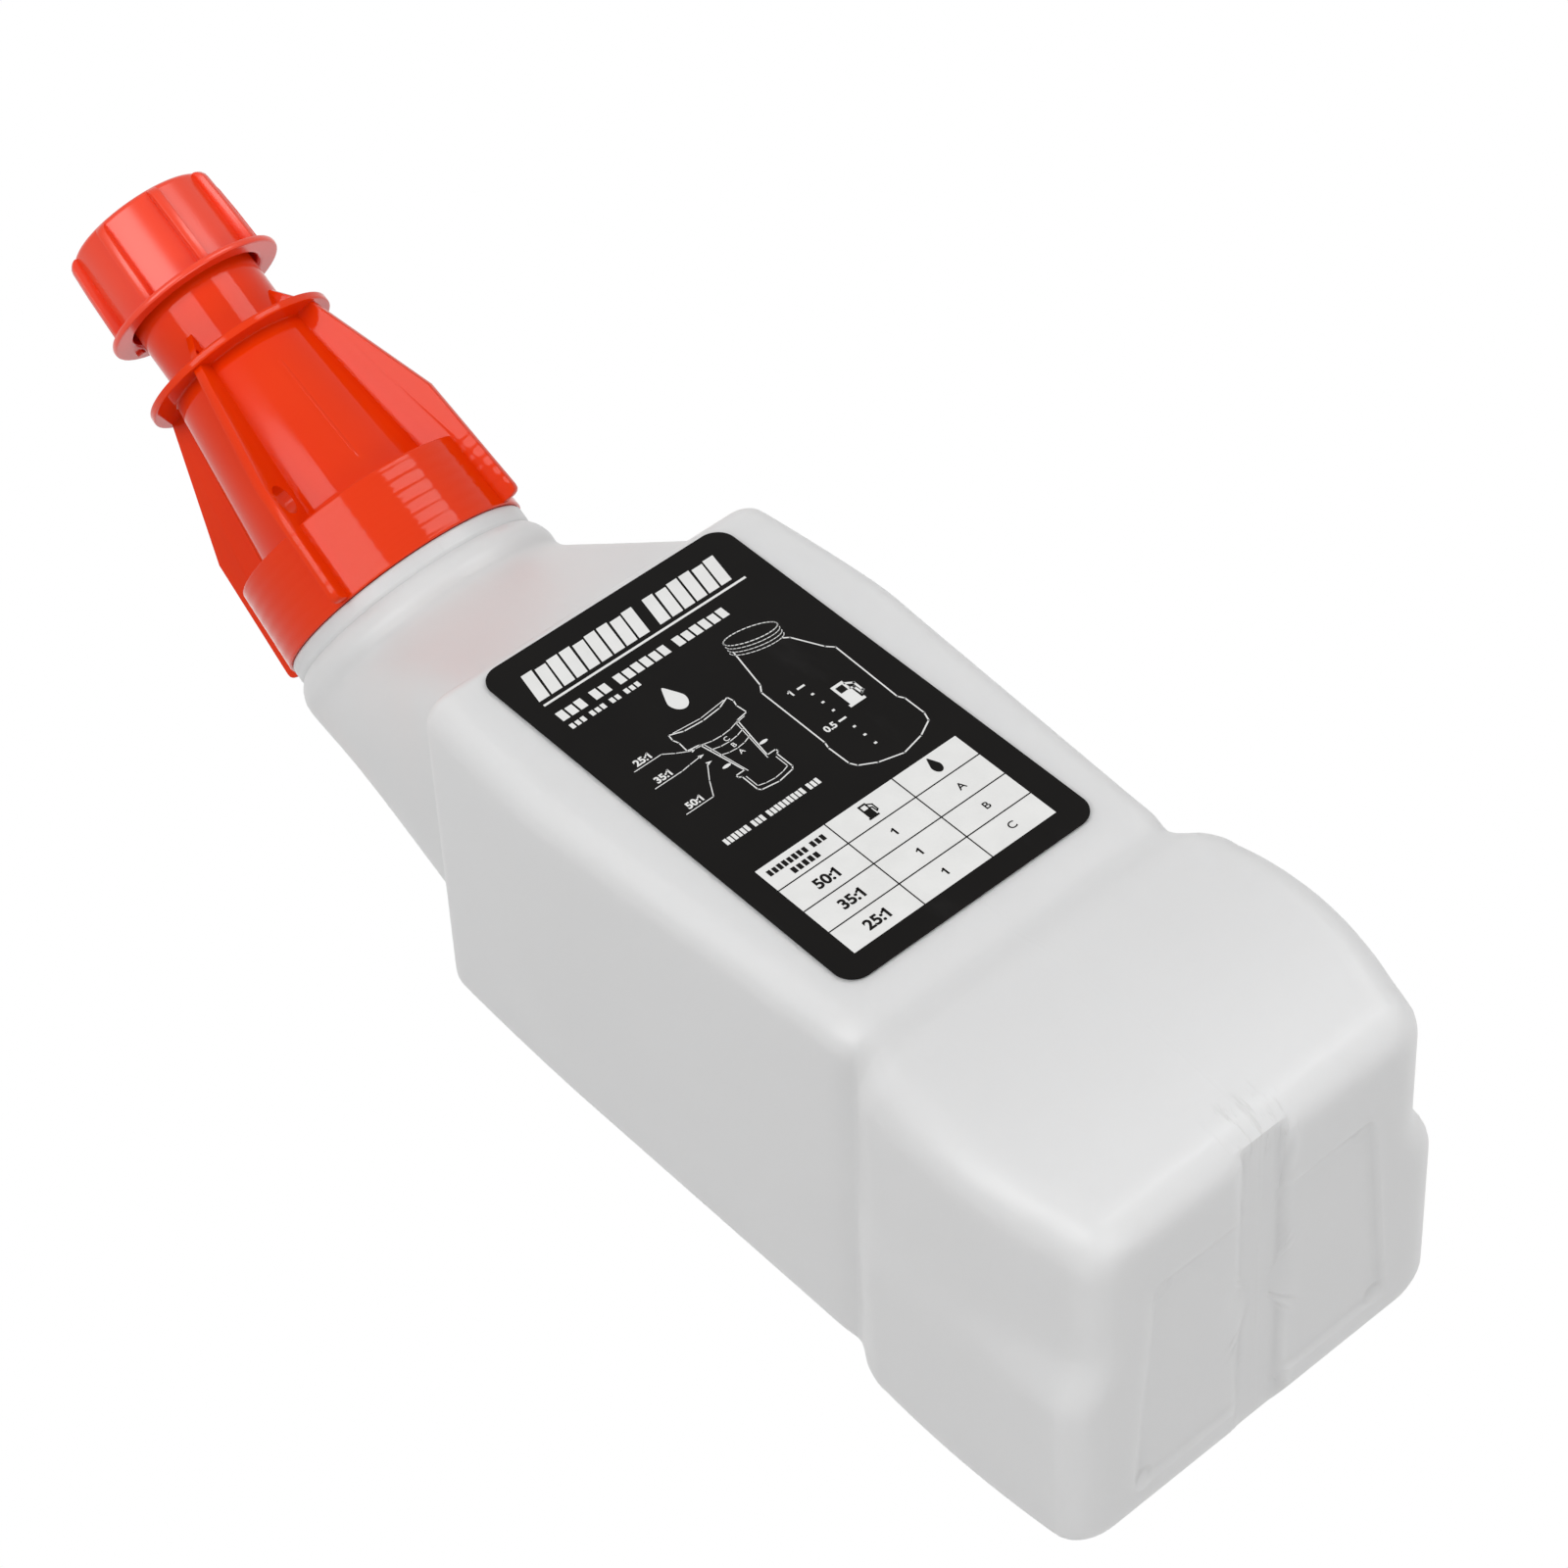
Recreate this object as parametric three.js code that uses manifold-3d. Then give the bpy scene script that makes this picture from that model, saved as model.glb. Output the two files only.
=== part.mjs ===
// Fuel mixing bottle: a one litre blow-moulded bottle whose neck leans towards its label, a measuring
// cup that screws on it and pours as a spout, and a screw cap with a sealing ring.
// Millimetres, +Z up. The label faces -Y, +X is to its right, and the bottle stands on z = 0.

import * as THREE from 'three';
import { mergeVertices } from 'three/addons/utils/BufferGeometryUtils.js';
import Module from 'manifold-3d';

const wasm = await Module();
wasm.setup();

// Clearances
const gap = 0.3; // between pieces that touch
const threadRoom = 1.7; // radial room between plain walls that a thread fills

// Bottle: one wall all round, a broad lower block, a waist and the label block
const wall = 1.4;
const floorWall = 2.8;
const lower = {
  height: 56, mid: 36, frontHalf: 45.8, backHalf: 47.2, frontY: -2.5, backY: 87,
  frontSag: 4.3, backSag: 1, faceSag: 2.5, sagReach: 27, edge: 6,
};
const waist = { z: 61.5, frontHalf: 38.2, backHalf: 43.3, frontY: 0.3, backY: 86.3 };
const upper = {
  start: 66, top: 182.5, frontHalf: 39, swell: 5.2, swellZ: 145, topHalf: 41.2, backHalf: 43.5,
  frontY: 0, backY: 86.5, edge: 4.5, topRise: 5.5,
};
const corner = { front: 6, back: 8 };
const sideStep = { from: 30, to: 44 }; // where the lower sides step out, behind the front
const recess = { frontY: 20, backY: 75, frontHalf: 27, backHalf: 32, depth: 1.2, corner: 4 };
const pinch = { half: 5.5, edge: 8.5, depth: 1.4 }; // channel of the parting line under the base

// Neck, on an axis that leans forward. Stations along it are counted from the foot of the cup's collar
const lean = THREE.MathUtils.degToRad(31.8);
const seat = new THREE.Vector3(0, 44.2, 249.7);
const neck = { radius: 25.2, beadFoot: -2.8, bulgeFrom: -12 };
neck.beadRadius = neck.radius + 1.2;
neck.bulge = neck.radius + 5.8;
const shoulderInset = { front: 5, side: 7, back: 6 };

// Label
const label = { width: 60, height: 106.5, bottom: 72, corner: 5.5, thickness: 0.3 };

// Cup: collar, cone, ring, gussets and pouring neck in one moulding
const cup = {
  turn: THREE.MathUtils.degToRad(-45), wall: 2,
  collarHeight: 18.5, collarWall: 2.4, collarTaper: 1, collarEdge: 1, coneStep: 3.6,
  ringFoot: 59, ringThickness: 1.7, ringWidth: 7.6,
  neckRadius: 14.7, neckWall: 2.1, neckTop: 92.7, threadFoot: 79, threadDepth: 0.5,
};
cup.collarBore = neck.radius + threadRoom;
cup.collarFoot = cup.collarBore + cup.collarWall;
cup.collarTop = cup.collarFoot - cup.collarTaper;
cup.coneFoot = neck.radius - cup.coneStep;
cup.coneTop = cup.neckRadius + cup.wall;
cup.ringRadius = cup.neckRadius + cup.ringWidth;
cup.boreRadius = cup.neckRadius - cup.neckWall;
cup.threadRoot = cup.neckRadius - cup.threadDepth;
const wing = {
  count: 4, thickness: 2.2, reach: 3.9, footCorner: 1.8, kinkInset: 1.9, kinkZ: 29.5, topReach: 4.2,
  holeRadius: 3.5, holeInset: 4.7, holeZ: 24.8,
};
wing.footRadius = cup.collarFoot + wing.reach;
wing.kinkRadius = wing.footRadius - wing.kinkInset;
wing.topRadius = cup.coneTop + wing.topReach;
wing.holeR = wing.kinkRadius - wing.holeInset;
const gusset = { height: 6.6, reach: 4.9, thickness: 1.6, holeRadius: 0.8, holeReach: 2.7, holeRise: 1.7 };
gusset.radius = cup.neckRadius + gusset.reach;
gusset.holeR = cup.neckRadius + gusset.holeReach;

// Cap: skirt with grip ribs, a flange, and a strap that bends back to the cup's neck
const cap = {
  foot: 75.6, room: 1, wall: 1.9, endWall: 2, flangeWidth: 3, flangeThickness: 1.5,
  taper: 0.4, edge: 1.2, ribCount: 8, ribHeight: 1.7, ribWidth: 2,
};
cap.skirtFoot = cup.neckRadius + cap.room + cap.wall;
cap.skirtTop = cap.skirtFoot - cap.taper;
cap.flangeRadius = cap.skirtFoot + cap.flangeWidth;
const gasket = { lap: 4.1, thickness: 1.5 };
gasket.inner = cup.boreRadius - gasket.lap;
const strap = { width: 7.5, thickness: 1.5, turn: THREE.MathUtils.degToRad(157.5) };

// Steps of the round forms
const roundSteps = 56;
const cornerSteps = 5;

const plastic = {
  bottle: new THREE.MeshStandardMaterial({ name: 'bottle_plastic', color: 0xdedede, roughness: 0.42 }),
  label: new THREE.MeshStandardMaterial({ name: 'label_film', color: 0x232120, roughness: 0.4 }),
  orange: new THREE.MeshStandardMaterial({ name: 'orange_plastic', color: 0xe93c14, roughness: 0.28 }),
  rubber: new THREE.MeshStandardMaterial({ name: 'black_rubber', color: 0x151312, roughness: 0.8 }),
};

function toSolid(geometry) {
  const plain = geometry.clone();
  plain.deleteAttribute('normal');
  plain.deleteAttribute('uv');
  const merged = mergeVertices(plain, 1e-4);
  return new wasm.Manifold(new wasm.Mesh({
    numProp: 3,
    vertProperties: new Float32Array(merged.attributes.position.array),
    triVerts: new Uint32Array(merged.index.array),
  }));
}

function toGeometry(solid) {
  const mesh = solid.getMesh();
  const geometry = new THREE.BufferGeometry();
  geometry.setAttribute('position', new THREE.BufferAttribute(new Float32Array(mesh.vertProperties), 3));
  geometry.setIndex(new THREE.BufferAttribute(new Uint32Array(mesh.triVerts), 1));
  geometry.computeVertexNormals();
  return geometry;
}

function lathe(profile) {
  const points = profile.map(([r, z]) => new THREE.Vector2(r, z));
  return new THREE.LatheGeometry(points, roundSteps).rotateX(Math.PI / 2);
}

// A plate in the plane through the axis: its outline is given as (radius, height) and it faces sideways
function radialPlate(shape, thickness) {
  const plate = new THREE.ExtrudeGeometry(shape, { depth: thickness, bevelEnabled: false, curveSegments: 10 });
  return plate.translate(0, 0, -thickness / 2).rotateX(Math.PI / 2);
}

const smooth = (t) => THREE.MathUtils.smoothstep(t, 0, 1);
const bow = (z) => ((z - lower.mid) / lower.sagReach) ** 2;

// Half an outline from the middle of the front to the middle of the back, on the +X side
function halfOutline({ frontHalf, backHalf, frontY, backY, frontCorner, backCorner, stepped }) {
  const points = [0, pinch.half, pinch.edge, frontHalf * 0.5].map((x) => [x, frontY]);
  const depth = backY - frontY;
  const sideHalf = (y) => {
    const share = stepped
      ? smooth((y - sideStep.from) / (sideStep.to - sideStep.from))
      : (y - frontY) / depth;
    return frontHalf + (backHalf - frontHalf) * share;
  };
  const arc = (half, y, radius, from) => {
    for (let i = 0; i <= cornerSteps; i += 1) {
      const angle = from + (i / cornerSteps) * (Math.PI / 2);
      points.push([half - radius + radius * Math.cos(angle), y + radius * Math.sin(angle)]);
    }
  };
  arc(sideHalf(frontY + frontCorner), frontY + frontCorner, frontCorner, -Math.PI / 2);
  for (const share of [0.33, 0.39, 0.45, 0.51, 0.72]) {
    const y = frontY + depth * share;
    points.push([sideHalf(y), y]);
  }
  arc(sideHalf(backY - backCorner), backY - backCorner, backCorner, 0);
  points.push(...[backHalf * 0.45, pinch.edge, pinch.half, 0].map((x) => [x, backY]));
  return points;
}

// A whole ring of points at one level, drawn in by an inset
function ring(section, inset, level) {
  const half = halfOutline({
    ...section,
    frontHalf: section.frontHalf - inset, backHalf: section.backHalf - inset,
    frontY: section.frontY + inset, backY: section.backY - inset,
    frontCorner: Math.max(section.frontCorner - inset * 0.5, 1),
    backCorner: Math.max(section.backCorner - inset * 0.5, 1),
  });
  const z = typeof level === 'function' ? level : () => level;
  const mirrored = half.slice(1, -1).reverse().map(([x, y]) => [-x, y]);
  return [...half, ...mirrored].map(([x, y]) => new THREE.Vector3(x, y, z(x, y)));
}

function lowerSection(z) {
  return {
    frontHalf: lower.frontHalf - lower.frontSag * bow(z), backHalf: lower.backHalf - lower.backSag * bow(z),
    frontY: lower.frontY + lower.faceSag * bow(z), backY: lower.backY - lower.backSag * bow(z),
    frontCorner: corner.front, backCorner: corner.back, stepped: true,
  };
}

function upperSection(z) {
  const rise = (z - upper.start) / (upper.swellZ - upper.start);
  const fall = (z - upper.swellZ) / (upper.top - upper.swellZ);
  const swollen = upper.frontHalf + upper.swell;
  const frontHalf = z < upper.swellZ
    ? upper.frontHalf + upper.swell * rise
    : swollen + (upper.topHalf - swollen) * fall ** 1.5;
  return {
    frontHalf, backHalf: upper.backHalf - 1.2 * Math.max(fall, 0) ** 2,
    frontY: upper.frontY, backY: upper.backY, frontCorner: corner.front, backCorner: corner.back,
  };
}

// The block's top rises a little towards the back
const topLevel = (z) => (x, y) => z + upper.topRise * (y / upper.backY) * smooth((z - 150) / (upper.top - 150));

function neckRing(shares, radius, station) {
  const up = new THREE.Vector3(0, -Math.sin(lean), Math.cos(lean));
  const front = new THREE.Vector3(0, -Math.cos(lean), -Math.sin(lean));
  return shares.map((share) => {
    const angle = share * 2 * Math.PI;
    return seat.clone()
      .addScaledVector(up, station)
      .addScaledVector(front, radius * Math.cos(angle))
      .add(new THREE.Vector3(radius * Math.sin(angle), 0, 0));
  });
}

// Each ring point's share of the way round, by length, so that the shoulder runs straight to the neck
function roundShares(points) {
  const lengths = points.map((p, i) => p.distanceTo(points[(i + 1) % points.length]));
  const total = lengths.reduce((sum, length) => sum + length, 0);
  let run = 0;
  return lengths.map((length) => {
    const share = run / total;
    run += length;
    return share;
  });
}

// Skin over rings that follow each other, closed by a fan at both ends
function skin(rings) {
  const count = rings[0].length;
  const points = rings.flat();
  const centre = (loop) => loop.reduce((sum, p) => sum.add(p), new THREE.Vector3()).divideScalar(count);
  points.push(centre(rings[0]), centre(rings.at(-1)));
  const index = [];
  for (let i = 0; i < count; i += 1) {
    const next = (i + 1) % count;
    index.push(points.length - 2, next, i);
    for (let k = 0; k + 1 < rings.length; k += 1) {
      const a = k * count + i;
      const b = k * count + next;
      index.push(a, b, b + count, a, b + count, a + count);
    }
    const last = (rings.length - 1) * count;
    index.push(points.length - 1, last + i, last + next);
  }
  const geometry = new THREE.BufferGeometry();
  geometry.setAttribute('position', new THREE.Float32BufferAttribute(points.flatMap((p) => p.toArray()), 3));
  geometry.setIndex(index);
  geometry.computeVertexNormals();
  return geometry;
}

function blend(from, to, share) {
  return from.map((p, i) => p.clone().lerp(to[i], share));
}

function edgeRings(section, radius, inset, level) {
  return [0, 1, 2, 3].map((i) => {
    const angle = (i / 4) * (Math.PI / 2);
    return ring(section, inset + radius * (1 - Math.sin(angle)), level(radius * (1 - Math.cos(angle))));
  });
}

// The rings of one side of the bottle's wall, from the floor to the neck
function bodyRings(inset) {
  const inside = inset > 0;
  const base = lowerSection(lower.edge);
  const floor = inside ? floorWall : 0;
  const under = (extra) => (x) => (Math.abs(x) <= pinch.half ? Math.max(extra, pinch.depth) : extra);
  const rings = [];
  if (!inside) {
    const panel = { ...recess, frontCorner: recess.corner, backCorner: recess.corner };
    rings.push(ring(panel, 1, under(recess.depth)), ring(panel, 0, under(0)));
  }
  const edge = edgeRings(base, lower.edge, inset, (dz) => (inside ? floor + dz * 0.7 : under(dz)));
  rings.push(...edge);
  for (const z of [lower.edge, 14, 24, lower.mid, 46, 52]) rings.push(ring(lowerSection(z), inset, z));
  const brow = lowerSection(lower.height);
  rings.push(ring(brow, inset + 0.6, lower.height - 0.6), ring(brow, inset + 2.2, lower.height + 1.4));
  rings.push(ring({ ...base, ...waist, stepped: false }, inset, waist.z - 1.5));
  rings.push(ring({ ...base, ...waist, stepped: false }, inset, waist.z));
  for (const z of [upper.start, 90, 120, upper.swellZ, 160, 171]) {
    rings.push(ring(upperSection(z), inset, topLevel(z)));
  }
  const crown = upperSection(upper.top - upper.edge);
  const lid = inside ? wall : 0;
  for (const share of [0, 0.35, 0.7, 1]) {
    const angle = share * (Math.PI / 2);
    const z = upper.top - lid - upper.edge * (1 - Math.sin(angle));
    rings.push(ring(crown, inset + upper.edge * (1 - Math.cos(angle)), topLevel(z)));
  }
  return rings;
}

function shoulderFoot(inset) {
  const crown = upperSection(upper.top - upper.edge);
  const lid = inset > 0 ? wall : 0;
  return ring({
    ...crown,
    frontHalf: crown.frontHalf - shoulderInset.side, backHalf: crown.backHalf - shoulderInset.side,
    frontY: crown.frontY + shoulderInset.front, backY: crown.backY - shoulderInset.back,
    frontCorner: corner.front + 4, backCorner: corner.back + 6,
  }, inset, topLevel(upper.top + 0.4 - lid));
}

function bottleRings(inset) {
  const foot = shoulderFoot(inset);
  const shares = roundShares(foot);
  const bulgeFoot = neckRing(shares, neck.bulge - inset, neck.bulgeFrom);
  const rings = [...bodyRings(inset), foot];
  for (const share of [0.12, 0.3, 0.5, 0.7, 0.88]) rings.push(blend(foot, bulgeFoot, share));
  rings.push(bulgeFoot);
  for (const [dr, station] of [[0, -8.5], [-0.8, -6], [-2.2, -4]]) {
    rings.push(neckRing(shares, neck.bulge + dr - inset, station));
  }
  return { rings, shares };
}

function makeBottle() {
  const outer = bottleRings(0);
  const inner = bottleRings(wall);
  const { shares } = outer;
  const lip = cup.collarHeight - cup.wall - gap;
  const finish = [
    [neck.beadRadius, neck.beadFoot], [neck.beadRadius, -0.6], [neck.radius, 0],
    [neck.radius, lip - 0.6], [neck.radius - 0.6, lip],
    [neck.radius - wall - 0.4, lip], [neck.radius - wall - 0.4, neck.beadFoot + 0.4],
  ];
  const finishRings = finish.map(([radius, station]) => neckRing(shares, radius, station));
  return skin([...outer.rings, ...finishRings, ...inner.rings.reverse()]);
}

function makeLabel() {
  const { width, height, corner: r } = label;
  const shape = new THREE.Shape();
  shape.moveTo(r, 0);
  shape.lineTo(width - r, 0);
  shape.absarc(width - r, r, r, -Math.PI / 2, 0);
  shape.absarc(width - r, height - r, r, 0, Math.PI / 2);
  shape.absarc(r, height - r, r, Math.PI / 2, Math.PI);
  shape.absarc(r, r, r, Math.PI, 1.5 * Math.PI);
  const film = new THREE.ExtrudeGeometry(shape, { depth: label.thickness, bevelEnabled: false, curveSegments: 6 });
  return film.translate(-width / 2, 0, 0).rotateX(Math.PI / 2);
}

function cupBody() {
  const c = cup;
  const ringTop = c.ringFoot + c.ringThickness;
  const coneStart = c.collarHeight + 1.5;
  const ceiling = c.collarHeight - c.wall;
  const bore = c.collarBore;
  const outside = [
    [bore + 0.5, 0], [c.collarFoot - 0.8, 0], [c.collarFoot, 0.8],
    [c.collarTop, c.collarHeight - c.collarEdge], [c.collarTop - c.collarEdge, c.collarHeight],
    [c.coneFoot + 1.4, c.collarHeight + 0.1], [c.coneFoot, coneStart],
    [c.coneTop, c.ringFoot], [c.ringRadius - 0.4, c.ringFoot], [c.ringRadius, c.ringFoot + 0.5],
    [c.ringRadius, ringTop - 0.5], [c.ringRadius - 0.4, ringTop], [c.neckRadius + 0.8, ringTop],
    [c.neckRadius, ringTop + 0.8], [c.neckRadius, c.threadFoot], [c.threadRoot, c.threadFoot + 0.5],
    [c.threadRoot, c.neckTop - 0.4], [c.threadRoot - 0.4, c.neckTop],
  ];
  const inside = [
    [c.boreRadius, c.neckTop], [c.boreRadius, ringTop], [c.coneTop - c.wall, c.ringFoot - 2],
    [c.coneFoot - c.wall, coneStart], [c.coneFoot - c.wall, ceiling], [bore, ceiling], [bore, 0.5],
  ];
  return lathe([...outside, ...inside, outside[0]]);
}

function wingPlate(holed) {
  const w = wing;
  const root = cup.coneTop - 1;
  const footRoot = cup.collarBore + 1;
  const shape = new THREE.Shape();
  shape.moveTo(footRoot, 0.4);
  shape.lineTo(w.footRadius - w.footCorner, 0.4);
  shape.quadraticCurveTo(w.footRadius, 0.4, w.footRadius, 0.4 + w.footCorner);
  shape.lineTo(w.kinkRadius, w.kinkZ);
  shape.lineTo(w.topRadius, cup.ringFoot + 0.4);
  shape.lineTo(root, cup.ringFoot + 0.4);
  shape.lineTo(cup.coneFoot - 1, cup.collarHeight + 1.5);
  shape.lineTo(cup.coneFoot - 1, cup.collarHeight - 1);
  shape.lineTo(footRoot, cup.collarHeight - 1);
  shape.closePath();
  if (holed) {
    const hole = new THREE.Path();
    hole.absarc(w.holeR, w.holeZ, w.holeRadius, 0, 2 * Math.PI, true);
    shape.holes.push(hole);
  }
  return radialPlate(shape, w.thickness);
}

function gussetPlate() {
  const foot = cup.ringFoot + cup.ringThickness - 0.4;
  const shape = new THREE.Shape();
  shape.moveTo(cup.neckRadius - 0.8, foot);
  shape.lineTo(gusset.radius, foot);
  shape.lineTo(gusset.radius - 0.3, foot + 0.9);
  shape.lineTo(cup.neckRadius + 0.2, foot + gusset.height);
  shape.lineTo(cup.neckRadius - 0.8, foot + gusset.height);
  shape.closePath();
  const hole = new THREE.Path();
  hole.absarc(gusset.holeR, foot + gusset.holeRise, gusset.holeRadius, 0, 2 * Math.PI, true);
  shape.holes.push(hole);
  return radialPlate(shape, gusset.thickness);
}

// A plate that faces +X stands at an angle counted from the front towards +X
const azimuth = (angle) => angle - Math.PI / 2;

function makeCup() {
  let solid = toSolid(cupBody());
  for (let i = 0; i < wing.count; i += 1) {
    const angle = azimuth(i * (2 * Math.PI / wing.count));
    solid = solid.add(toSolid(wingPlate(i % 2 === 0).rotateZ(angle)));
    solid = solid.add(toSolid(gussetPlate().rotateZ(angle)));
  }
  return toGeometry(solid);
}

// The strap leaves the flange, swings out and bends back to the cup's neck above the gussets
function strapPlate() {
  const start = cap.foot + cap.flangeThickness / 2;
  const route = new THREE.CatmullRomCurve3([
    [cap.flangeRadius - 2.5, start], [cap.flangeRadius + 4, start + 0.4], [cap.flangeRadius + 11, start - 2],
    [cap.flangeRadius + 13.5, start - 7.5], [cap.flangeRadius + 10, start - 12], [cap.flangeRadius + 3, start - 11.5],
    [cup.neckRadius + 2 * gap, start - 8],
  ].map(([r, z]) => new THREE.Vector3(r, z, 0)));
  const points = route.getPoints(22);
  const normals = points.map((p, i) => {
    const along = route.getTangent(i / 22);
    return new THREE.Vector3(-along.y, along.x, 0).multiplyScalar(strap.thickness / 2);
  });
  const left = points.map((p, i) => p.clone().add(normals[i]));
  const right = points.map((p, i) => p.clone().sub(normals[i])).reverse();
  const shape = new THREE.Shape([...left, ...right].map((p) => new THREE.Vector2(p.x, p.y)));
  return radialPlate(shape, strap.width);
}

function makeCap() {
  const c = cap;
  const top = cup.neckTop + 2 * gap + gasket.thickness + c.endWall;
  const ceiling = top - c.endWall;
  const flangeTop = c.foot + c.flangeThickness;
  const bore = c.skirtFoot - c.wall;
  let solid = toSolid(lathe([
    [0, top], [0, ceiling], [bore - 0.3, ceiling], [bore, ceiling - 0.6], [bore, c.foot + 0.8],
    [bore + 0.8, c.foot], [c.flangeRadius - 0.4, c.foot], [c.flangeRadius, c.foot + 0.4],
    [c.flangeRadius, flangeTop - 0.4], [c.flangeRadius - 0.4, flangeTop], [c.skirtFoot, flangeTop],
    [c.skirtTop, top - c.edge], [c.skirtTop - c.edge * 0.3, top - c.edge * 0.3], [c.skirtTop - c.edge, top],
    [0, top],
  ]));
  const rib = new THREE.Shape();
  rib.moveTo(bore + 0.6, flangeTop - 0.4);
  rib.lineTo(c.skirtFoot + c.ribHeight, flangeTop - 0.4);
  rib.lineTo(c.skirtTop + c.ribHeight, top - c.edge);
  rib.quadraticCurveTo(c.skirtTop + c.ribHeight, top, c.skirtTop - c.edge, top);
  rib.lineTo(bore + 0.6, top - c.edge);
  rib.closePath();
  for (let i = 0; i < c.ribCount; i += 1) {
    const angle = azimuth((i + 0.5) * (2 * Math.PI / c.ribCount));
    solid = solid.add(toSolid(radialPlate(rib, c.ribWidth).rotateZ(angle)));
  }
  solid = solid.add(toSolid(strapPlate().rotateZ(azimuth(strap.turn))));
  return toGeometry(solid);
}

function makeGasket() {
  const foot = cup.neckTop + gap;
  const rim = cap.skirtFoot - cap.wall - gap - 0.4;
  const top = foot + gasket.thickness;
  return lathe([[gasket.inner, foot], [rim, foot], [rim, top], [gasket.inner, top], [gasket.inner, foot]]);
}

function named(name, geometry, material) {
  const mesh = new THREE.Mesh(geometry, material);
  mesh.name = name;
  return mesh;
}

const bottle = named('bottle', makeBottle(), plastic.bottle);

const film = named('label', makeLabel(), plastic.label);
film.position.set(0, upper.frontY - gap, label.bottom);

const spout = new THREE.Group();
spout.position.copy(seat);
spout.rotation.x = lean;
const measuringCup = named('measuring_cup', makeCup(), plastic.orange);
measuringCup.rotation.z = cup.turn;
spout.add(measuringCup, named('cap', makeCap(), plastic.orange), named('cap_gasket', makeGasket(), plastic.rubber));

// The origin is under the middle of everything, on the surface that the bottle stands on
const model = new THREE.Group();
model.add(bottle, film, spout);
const box = new THREE.Box3().setFromObject(model, true);
model.position.y = -(box.min.y + box.max.y) / 2;

export default model;
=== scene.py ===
from math import cos, pi, radians, sin

import bmesh
import bpy
from mathutils import Matrix, Quaternion, Vector


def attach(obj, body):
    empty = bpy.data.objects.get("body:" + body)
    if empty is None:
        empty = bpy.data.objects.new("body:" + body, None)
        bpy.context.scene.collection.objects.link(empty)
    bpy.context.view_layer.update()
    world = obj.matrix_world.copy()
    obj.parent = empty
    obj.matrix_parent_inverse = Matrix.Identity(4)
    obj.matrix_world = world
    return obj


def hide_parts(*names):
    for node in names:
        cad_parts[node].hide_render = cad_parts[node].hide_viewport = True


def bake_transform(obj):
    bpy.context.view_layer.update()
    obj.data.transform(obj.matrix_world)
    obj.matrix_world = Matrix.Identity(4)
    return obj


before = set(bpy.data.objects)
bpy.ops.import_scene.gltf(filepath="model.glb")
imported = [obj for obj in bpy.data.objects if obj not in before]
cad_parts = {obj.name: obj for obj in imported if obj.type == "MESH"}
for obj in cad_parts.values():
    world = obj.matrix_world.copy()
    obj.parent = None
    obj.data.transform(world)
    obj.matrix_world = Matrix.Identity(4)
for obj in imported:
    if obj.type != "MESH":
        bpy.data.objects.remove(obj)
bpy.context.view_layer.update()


# Camera
# It looks up at the bottle from in front, left of the label and a little under the foot, and is
# rolled so that the bottle lies from the lower right to the upper left.
bpy.ops.object.camera_add()
camera = bpy.context.object
camera.name = "camera"
camera.data.lens = 95.27
camera.data.clip_start = 0.01
camera.matrix_world = Matrix((
    (0.7552, 0.5064, -0.4162, -0.3211),
    (0.0662, -0.6906, -0.7202, -0.57796),
    (-0.6521, 0.5163, -0.5551, -0.3027),
    (0, 0, 0, 1),
))
bpy.context.scene.camera = camera


# Bottle
# Blow-moulded from one tube of milky white polyethylene: a broad foot, a waist, the label block and
# a shoulder that runs up to the leaning neck. The mould halves meet in the plane x = 0, which
# leaves the pinched channel under the foot.
mm = 0.001
middle = 0.03276                  # the front of the block is this far in front of the origin
lean = radians(31.8)
seat = Vector((0, 0.0442 - middle, 0.2497))
up_neck = Vector((0, -sin(lean), cos(lean)))
front_neck = Vector((0, -cos(lean), -sin(lean)))
front_steps, corner_steps, side_steps = 20, 9, 34

# These are in millimetres, as are the lengths of all shapes below. Materials count in metres.
wall = 1.4
block_depth = 86.5
neck_radius, bead_radius, bulge_radius = 25.2, 28.9, 31
foot_edge, crown_edge = 7.5, 4.5  # how far the foot's lower edge and the block's top are rounded
sole_rise, channel_rise = 0.7, 1.7


def smooth(share):
    share = min(max(share, 0), 1)
    return share * share * (3 - 2 * share)


# Half a level outline, from the middle of the front to the middle of the back, and its mirror image
def outline(front_half, back_half, front_y, back_y, front_corner=6, back_corner=8, stepped=False):
    depth = back_y - front_y

    def side_half(y):
        share = smooth((y - 30) / 14) if stepped else (y - front_y) / depth
        return front_half + (back_half - front_half) * share

    half = []
    start = side_half(front_y + front_corner) - front_corner
    half += [(start * i / front_steps, front_y) for i in range(front_steps)]
    for i in range(corner_steps + 1):
        turn = (i / corner_steps - 1) * pi / 2
        half.append((start + front_corner * cos(turn), front_y + front_corner * (1 + sin(turn))))
    low, high = front_y + front_corner, back_y - back_corner
    for i in range(1, side_steps):
        y = low + (high - low) * i / side_steps
        half.append((side_half(y), y))
    end = side_half(high) - back_corner
    for i in range(corner_steps + 1):
        turn = i / corner_steps * pi / 2
        half.append((end + back_corner * cos(turn), high + back_corner * sin(turn)))
    half += [(end * (1 - i / front_steps), back_y) for i in range(1, front_steps + 1)]
    return half + [(-x, y) for x, y in half[-2:0:-1]]


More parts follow.
